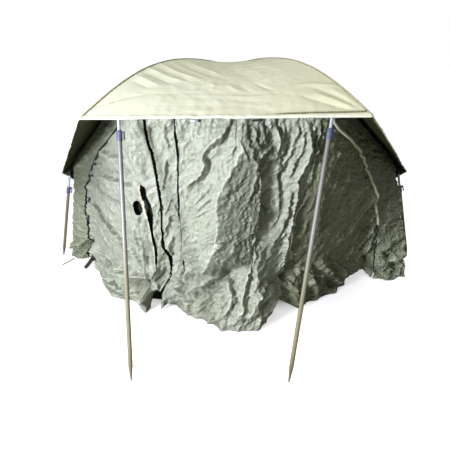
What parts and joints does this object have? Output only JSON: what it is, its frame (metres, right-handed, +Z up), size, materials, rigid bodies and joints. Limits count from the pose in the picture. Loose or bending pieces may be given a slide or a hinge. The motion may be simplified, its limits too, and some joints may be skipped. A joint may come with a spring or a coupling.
{
  "type": "fishing umbrella shelter",
  "caption": "Tilted fishing umbrella shelter with storm poles, a domed cloth canopy and a loose zipped front wall.",
  "frame": {"origin": "middle of the base, on the ground", "axes": "+X to the right seen from the front, +Y to the back, +Z up"},
  "size_m": [2.8868, 2.3594, 1.5928],
  "materials": {
    "canopy_cloth": "coated polyester, sage cream",
    "wall_cloth": "thin crumpled nylon, grey green",
    "wing_cloth": "thin nylon, olive grey",
    "rib_steel": "dark painted steel tube",
    "bare_aluminium": "drawn bare tube",
    "olive_paint": "satin olive paint",
    "dark_plastic": "moulded",
    "grey_plastic": "moulded, blue grey",
    "zip_plastic": "coil zip on tape",
    "red_pull": "red brown enamel"
  },
  "bodies": {
    "hub": {"hub_block": "dark_plastic", "hub_top_cap": "dark_plastic", "hub_bolt": "bare_aluminium", "rib_pivot_ring": "bare_aluminium"},
    "button": {"tension_button": "grey_plastic"},
    "front_left_rib_set": {"front_left_rib": "rib_steel", "front_left_pole_block": "dark_plastic"},
    "side_left_rib_set": {"side_left_rib": "rib_steel", "side_left_pole_block": "dark_plastic"},
    "rear_left_rib_set": {"rear_left_rib": "rib_steel", "rear_left_ground_foot": "dark_plastic"},
    "rear_right_rib_set": {"rear_right_rib": "rib_steel", "rear_right_ground_foot": "dark_plastic"},
    "side_right_rib_set": {"side_right_rib": "rib_steel", "side_right_pole_block": "dark_plastic"},
    "front_right_rib_set": {"front_right_rib": "rib_steel", "front_right_pole_block": "dark_plastic"},
    "front_gore_cloth": {"front_gore": "canopy_cloth"},
    "left_front_gore_cloth": {"left_front_gore": "canopy_cloth"},
    "left_rear_gore_cloth": {"left_rear_gore": "canopy_cloth"},
    "rear_gore_cloth": {"rear_gore": "canopy_cloth"},
    "right_rear_gore_cloth": {"right_rear_gore": "canopy_cloth"},
    "right_front_gore_cloth": {"right_front_gore": "canopy_cloth"},
    "front_wall": {"left_door_panel": "wall_cloth", "door_leaf_panel": "wall_cloth", "centre_wall_panel": "wall_cloth", "window_wall_panel": "wall_cloth", "curved_zip_tape": "zip_plastic", "straight_zip_tape": "zip_plastic"},
    "left_wing_cloth": {"left_wing": "wing_cloth"},
    "right_wing_cloth": {"right_wing": "wing_cloth"},
    "curved_slider": {"curved_zip_slider": "red_pull"},
    "straight_slider": {"straight_zip_slider": "red_pull"},
    "front_left_upper_pole": {"front_left_pole_head": "dark_plastic", "front_left_pole_upper_tube": "bare_aluminium"},
    "front_left_lower_pole": {"front_left_pole_lower_tube": "olive_paint", "front_left_pole_clamp": "grey_plastic", "front_left_pole_spike": "dark_plastic"},
    "front_left_lever": {"front_left_pole_lever": "dark_plastic"},
    "front_right_upper_pole": {"front_right_pole_head": "dark_plastic", "front_right_pole_upper_tube": "bare_aluminium"},
    "front_right_lower_pole": {"front_right_pole_lower_tube": "olive_paint", "front_right_pole_clamp": "grey_plastic", "front_right_pole_spike": "dark_plastic"},
    "front_right_lever": {"front_right_pole_lever": "dark_plastic"},
    "side_left_upper_pole": {"side_left_pole_head": "dark_plastic", "side_left_pole_upper_tube": "bare_aluminium"},
    "side_left_lower_pole": {"side_left_pole_lower_tube": "olive_paint", "side_left_pole_clamp": "grey_plastic", "side_left_pole_spike": "dark_plastic"},
    "side_left_lever": {"side_left_pole_lever": "dark_plastic"},
    "side_right_upper_pole": {"side_right_pole_head": "dark_plastic", "side_right_pole_upper_tube": "bare_aluminium"},
    "side_right_lower_pole": {"side_right_pole_lower_tube": "olive_paint", "side_right_pole_clamp": "grey_plastic", "side_right_pole_spike": "dark_plastic"},
    "side_right_lever": {"side_right_pole_lever": "dark_plastic"}
  },
  "joints": [
    {"name": "button_press", "type": "slide", "parent": "hub", "child": "button", "axis": [0, 0.4695, 0.8829], "range_m": [0, 0.006], "stiffness_N_per_m": 300, "springref_m": -0.003},
    {"name": "fold", "type": "hinge", "parent": "hub", "child": "front_left_rib_set", "pos_m": [-0.02154, 0.27197, 1.51693], "axis": [0.8585, -0.4528, 0.2408], "range_deg": [0, 40]},
    {"name": "side_left_rib_fold", "type": "hinge", "parent": "hub", "child": "side_left_rib_set", "pos_m": [-0.04018, 0.3146, 1.49426], "axis": [-0.2911, -0.8447, 0.4491], "range_deg": [-0.5, 40.5]},
    {"name": "rear_left_rib_fold", "type": "hinge", "parent": "hub", "child": "rear_left_rib_set", "pos_m": [-0.01833, 0.33718, 1.48226], "axis": [-0.8998, -0.3853, 0.2049], "range_deg": [-0.5, 40.5]},
    {"name": "rear_right_rib_fold", "type": "hinge", "parent": "hub", "child": "rear_right_rib_set", "pos_m": [0.01833, 0.33718, 1.48226], "axis": [-0.8998, 0.3853, -0.2049], "range_deg": [-0.5, 40.5]},
    {"name": "side_right_rib_fold", "type": "hinge", "parent": "hub", "child": "side_right_rib_set", "pos_m": [0.04018, 0.3146, 1.49426], "axis": [-0.2911, 0.8447, -0.4491], "range_deg": [-0.5, 40.5]},
    {"name": "front_right_rib_fold", "type": "hinge", "parent": "hub", "child": "front_right_rib_set", "pos_m": [0.02154, 0.27197, 1.51693], "axis": [0.8585, 0.4528, -0.2408], "range_deg": [-0.5, 40.5]},
    {"name": "front_gore_fold", "type": "hinge", "parent": "hub", "child": "front_gore_cloth", "pos_m": [0, 0.26672, 1.51972], "axis": [1, 0, 0], "range_deg": [-0.5, 40.5], "deforming": ["front_gore"]},
    {"name": "left_front_gore_fold", "type": "hinge", "parent": "hub", "child": "left_front_gore_cloth", "pos_m": [-0.03918, 0.29045, 1.5071], "axis": [0.3602, -0.8237, 0.438], "range_deg": [-0.5, 40.5], "deforming": ["left_front_gore"]},
    {"name": "left_rear_gore_fold", "type": "hinge", "parent": "hub", "child": "left_rear_gore_cloth", "pos_m": [-0.03192, 0.32791, 1.48719], "axis": [-0.6498, -0.6711, 0.3568], "range_deg": [-0.5, 40.5], "deforming": ["left_rear_gore"]},
    {"name": "rear_gore_fold", "type": "hinge", "parent": "hub", "child": "rear_gore_cloth", "pos_m": [0, 0.34089, 1.48028], "axis": [-1, 0, 0], "range_deg": [-0.5, 40.5], "deforming": ["rear_gore"]},
    {"name": "right_rear_gore_fold", "type": "hinge", "parent": "hub", "child": "right_rear_gore_cloth", "pos_m": [0.03193, 0.32791, 1.48719], "axis": [-0.6498, 0.6711, -0.3568], "range_deg": [-0.5, 40.5], "deforming": ["right_rear_gore"]},
    {"name": "right_front_gore_fold", "type": "hinge", "parent": "hub", "child": "right_front_gore_cloth", "pos_m": [0.03918, 0.29045, 1.5071], "axis": [0.3602, 0.8237, -0.438], "range_deg": [-0.5, 40.5], "deforming": ["right_front_gore"]},
    {"name": "front_wall_hang", "type": "hinge", "parent": "front_gore_cloth", "child": "front_wall", "pos_m": [0, -0.71789, 1.44343], "axis": [1, 0, 0], "range_deg": [-40.5, 0.5], "deforming": ["left_door_panel", "door_leaf_panel", "centre_wall_panel", "window_wall_panel", "curved_zip_tape", "straight_zip_tape"]},
    {"name": "left_wing_hang", "type": "hinge", "parent": "left_front_gore_cloth", "child": "left_wing_cloth", "pos_m": [-0.93114, -0.10412, 1.09389], "axis": [0.3602, -0.8237, 0.438], "range_deg": [-40.5, 0.5], "deforming": ["left_wing"]},
    {"name": "right_wing_hang", "type": "hinge", "parent": "right_front_gore_cloth", "child": "right_wing_cloth", "pos_m": [0.93114, -0.10412, 1.09389], "axis": [0.3602, 0.8237, -0.438], "range_deg": [-40.5, 0.5], "deforming": ["right_wing"]},
    {"name": "front_left_pole_swing", "type": "hinge", "parent": "front_left_rib_set", "child": "front_left_upper_pole", "pos_m": [-0.55458, -0.7726, 1.44466], "axis": [0.8903, -0.4307, 0.1478], "range_deg": [-28.5, 0.5]},
    {"name": "front_left_pole_extend", "type": "slide", "parent": "front_left_upper_pole", "child": "front_left_lower_pole", "axis": [0.0297, -0.2689, -0.9627], "range_m": [-0.12, 0.42]},
    {"name": "front_left_lever_open", "type": "hinge", "parent": "front_left_lower_pole", "child": "front_left_lever", "pos_m": [-0.52484, -0.82445, 1.25906], "axis": [0, -0.9631, 0.2691], "range_deg": [0, 110]},
    {"name": "front_right_pole_swing", "type": "hinge", "parent": "front_right_rib_set", "child": "front_right_upper_pole", "pos_m": [0.55243, -0.77369, 1.44516], "axis": [0.8502, 0.4571, -0.2611], "range_deg": [-28.5, 0.5]},
    {"name": "front_right_pole_extend", "type": "slide", "parent": "front_right_upper_pole", "child": "front_right_lower_pole", "axis": [-0.1499, -0.2653, -0.9525], "range_m": [-0.12, 0.42]},
    {"name": "front_right_lever_open", "type": "hinge", "parent": "front_right_lower_pole", "child": "front_right_lever", "pos_m": [0.54716, -0.82599, 1.2574], "axis": [0, -0.9633, 0.2683], "range_deg": [0, 110]},
    {"name": "side_left_pole_swing", "type": "hinge", "parent": "side_left_rib_set", "child": "side_left_upper_pole", "pos_m": [-1.2549, 0.37209, 0.77695], "axis": [0.4226, -0.8775, -0.2269], "range_deg": [-12.5, 0.5]},
    {"name": "side_left_pole_extend", "type": "slide", "parent": "side_left_upper_pole", "child": "side_left_lower_pole", "axis": [-0.2295, 0.1385, -0.9634], "range_m": [-0.09, 0.14]},
    {"name": "side_left_lever_open", "type": "hinge", "parent": "side_left_lower_pole", "child": "side_left_lever", "pos_m": [-1.26907, 0.39552, 0.61399], "axis": [0, -0.9898, -0.1423], "range_deg": [0, 110]},
    {"name": "side_right_pole_swing", "type": "hinge", "parent": "side_right_rib_set", "child": "side_right_upper_pole", "pos_m": [1.2549, 0.37209, 0.77695], "axis": [0.4226, 0.8775, 0.2269], "range_deg": [-12.5, 0.5]},
    {"name": "side_right_pole_extend", "type": "slide", "parent": "side_right_upper_pole", "child": "side_right_lower_pole", "axis": [0.2295, 0.1385, -0.9634], "range_m": [-0.09, 0.14]},
    {"name": "side_right_lever_open", "type": "hinge", "parent": "side_right_lower_pole", "child": "side_right_lever", "pos_m": [1.31578, 0.39395, 0.62489], "axis": [0, -0.9898, -0.1423], "range_deg": [0, 110]},
    {"name": "curved_zip_run", "type": "slide", "parent": "front_wall", "child": "curved_slider", "axis": [-0.0561, -0.1744, 0.9831], "range_m": [-0.643, 0.578]},
    {"name": "straight_zip_run", "type": "slide", "parent": "front_wall", "child": "straight_slider", "axis": [-0.0136, -0.1314, 0.9912], "range_m": [-0.072, 1.123]}
  ],
  "couplings": [
    {"joint": "side_left_rib_fold", "follows": "fold", "ratio": 1},
    {"joint": "rear_left_rib_fold", "follows": "fold", "ratio": 1},
    {"joint": "rear_right_rib_fold", "follows": "fold", "ratio": 1},
    {"joint": "side_right_rib_fold", "follows": "fold", "ratio": 1},
    {"joint": "front_right_rib_fold", "follows": "fold", "ratio": 1},
    {"joint": "front_gore_fold", "follows": "fold", "ratio": 1},
    {"joint": "left_front_gore_fold", "follows": "fold", "ratio": 1},
    {"joint": "left_rear_gore_fold", "follows": "fold", "ratio": 1},
    {"joint": "rear_gore_fold", "follows": "fold", "ratio": 1},
    {"joint": "right_rear_gore_fold", "follows": "fold", "ratio": 1},
    {"joint": "right_front_gore_fold", "follows": "fold", "ratio": 1},
    {"joint": "front_wall_hang", "follows": "fold", "ratio": -1},
    {"joint": "left_wing_hang", "follows": "fold", "ratio": -1},
    {"joint": "right_wing_hang", "follows": "fold", "ratio": -1},
    {"joint": "front_left_pole_swing", "follows": "fold", "ratio": -0.7},
    {"joint": "front_right_pole_swing", "follows": "fold", "ratio": -0.7},
    {"joint": "side_left_pole_swing", "follows": "fold", "ratio": -0.3},
    {"joint": "side_right_pole_swing", "follows": "fold", "ratio": -0.3}
  ]
}
